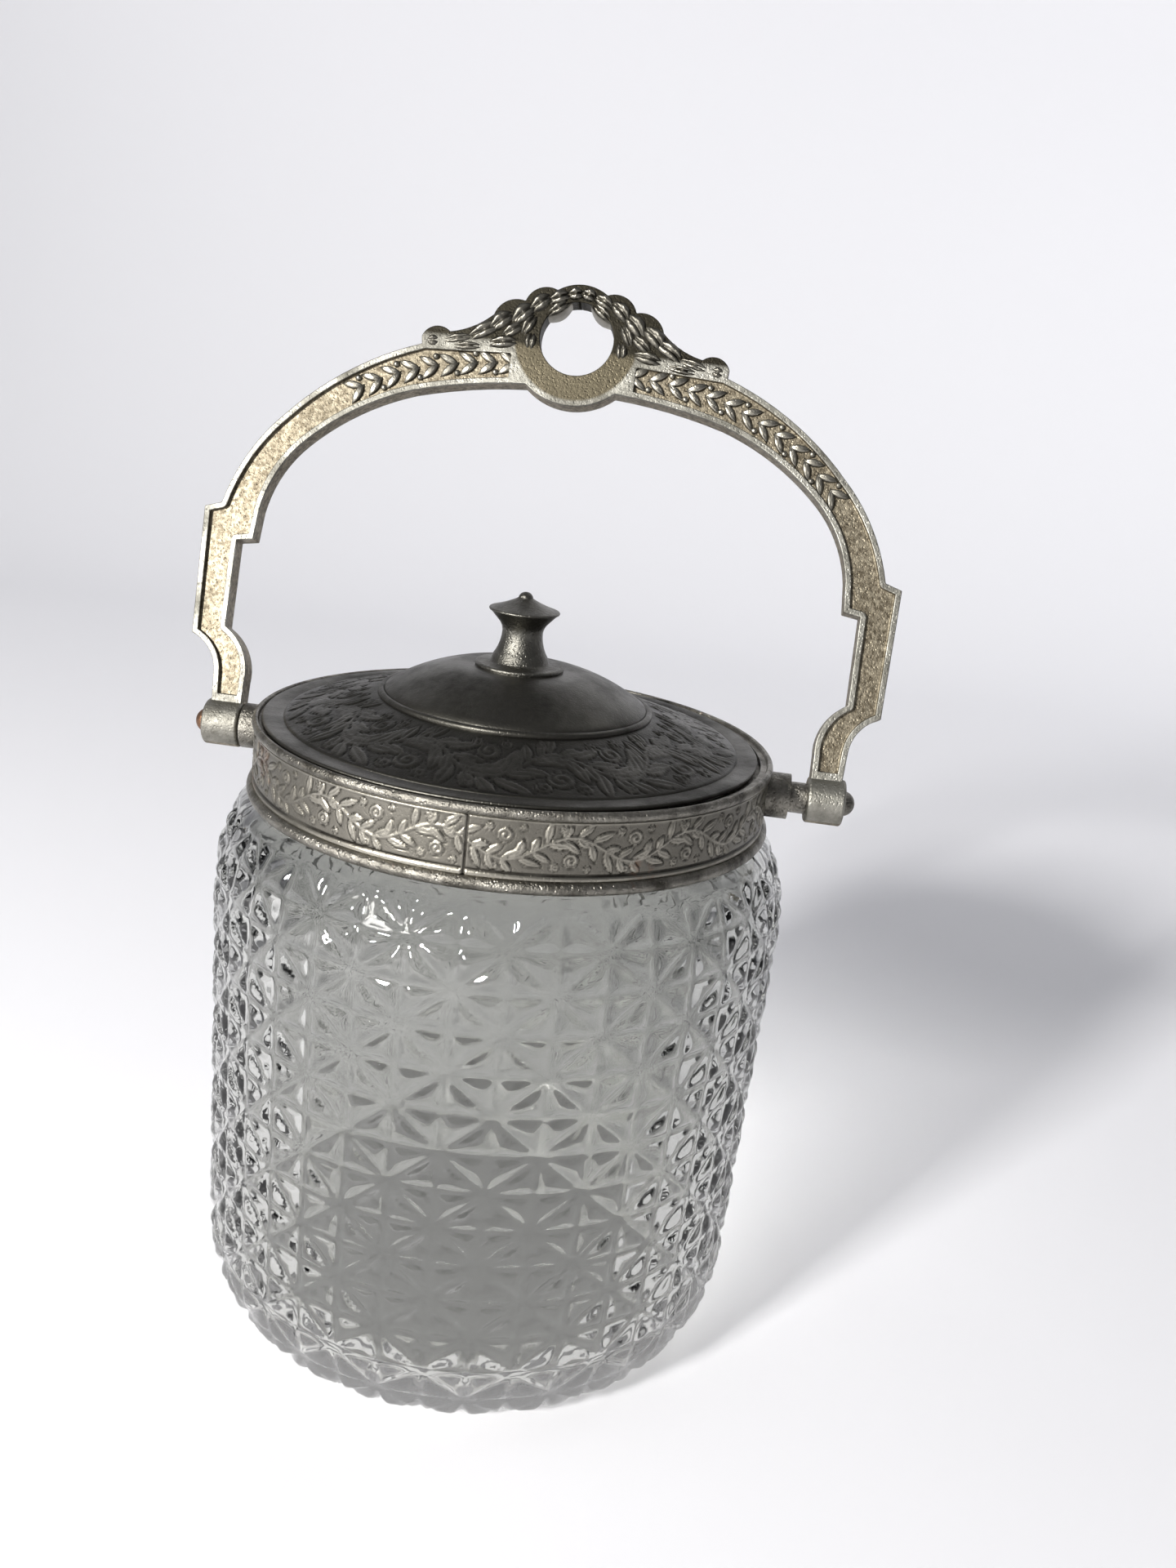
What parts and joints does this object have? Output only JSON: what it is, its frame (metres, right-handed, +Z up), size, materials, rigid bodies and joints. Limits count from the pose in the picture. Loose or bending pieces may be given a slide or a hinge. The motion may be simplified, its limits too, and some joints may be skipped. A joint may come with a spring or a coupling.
{
  "type": "biscuit jar",
  "caption": "Pressed glass biscuit jar with an embossed plated collar, a lift-off domed lid with a turned knob, and a cast swinging bail.",
  "frame": {"origin": "centre of the glass foot, on the surface the jar stands on", "axes": "+Z up along the jar's axis, X along the bail's pivots, -Y towards the front"},
  "size_m": [0.1556, 0.1268, 0.232],
  "materials": {
    "pressed_glass": "clear pressed glass with an all-over cut star pattern",
    "cement": "matt plaster",
    "silver_plate": "tarnished silver plate, embossed, worn at the edges",
    "cast_silver": "cast and plated, bright borders, dull sunk panels",
    "lid_silver": "darkly tarnished silver plate, engraved and pitted",
    "worn_copper": "plate worn through to copper",
    "brass": "dull brass"
  },
  "bodies": {
    "jar": {"glass_jar": "pressed_glass", "plaster_bed": "cement", "collar_band": "silver_plate", "collar_top_rim": "silver_plate", "collar_foot_bead": "silver_plate", "lid_seat_ring": "silver_plate", "left_pivot_boss": "silver_plate", "right_pivot_boss": "silver_plate"},
    "bail": {"bail": "cast_silver", "left_pivot_pin": "worn_copper", "right_pivot_pin": "cast_silver"},
    "lid": {"lid_shell": "lid_silver", "lid_skirt": "lid_silver", "knob": "lid_silver", "knob_stud": "brass", "knob_washer": "brass", "knob_nut": "brass"}
  },
  "joints": [
    {"name": "bail_swing", "type": "hinge", "parent": "jar", "child": "bail", "pos_m": [0, 0, 0.13], "axis": [1, 0, 0], "range_deg": [-106, 142]},
    {"name": "lid_lift", "type": "slide", "parent": "jar", "child": "lid", "axis": [0, 0, 1], "range_m": [0, 0.04]}
  ]
}
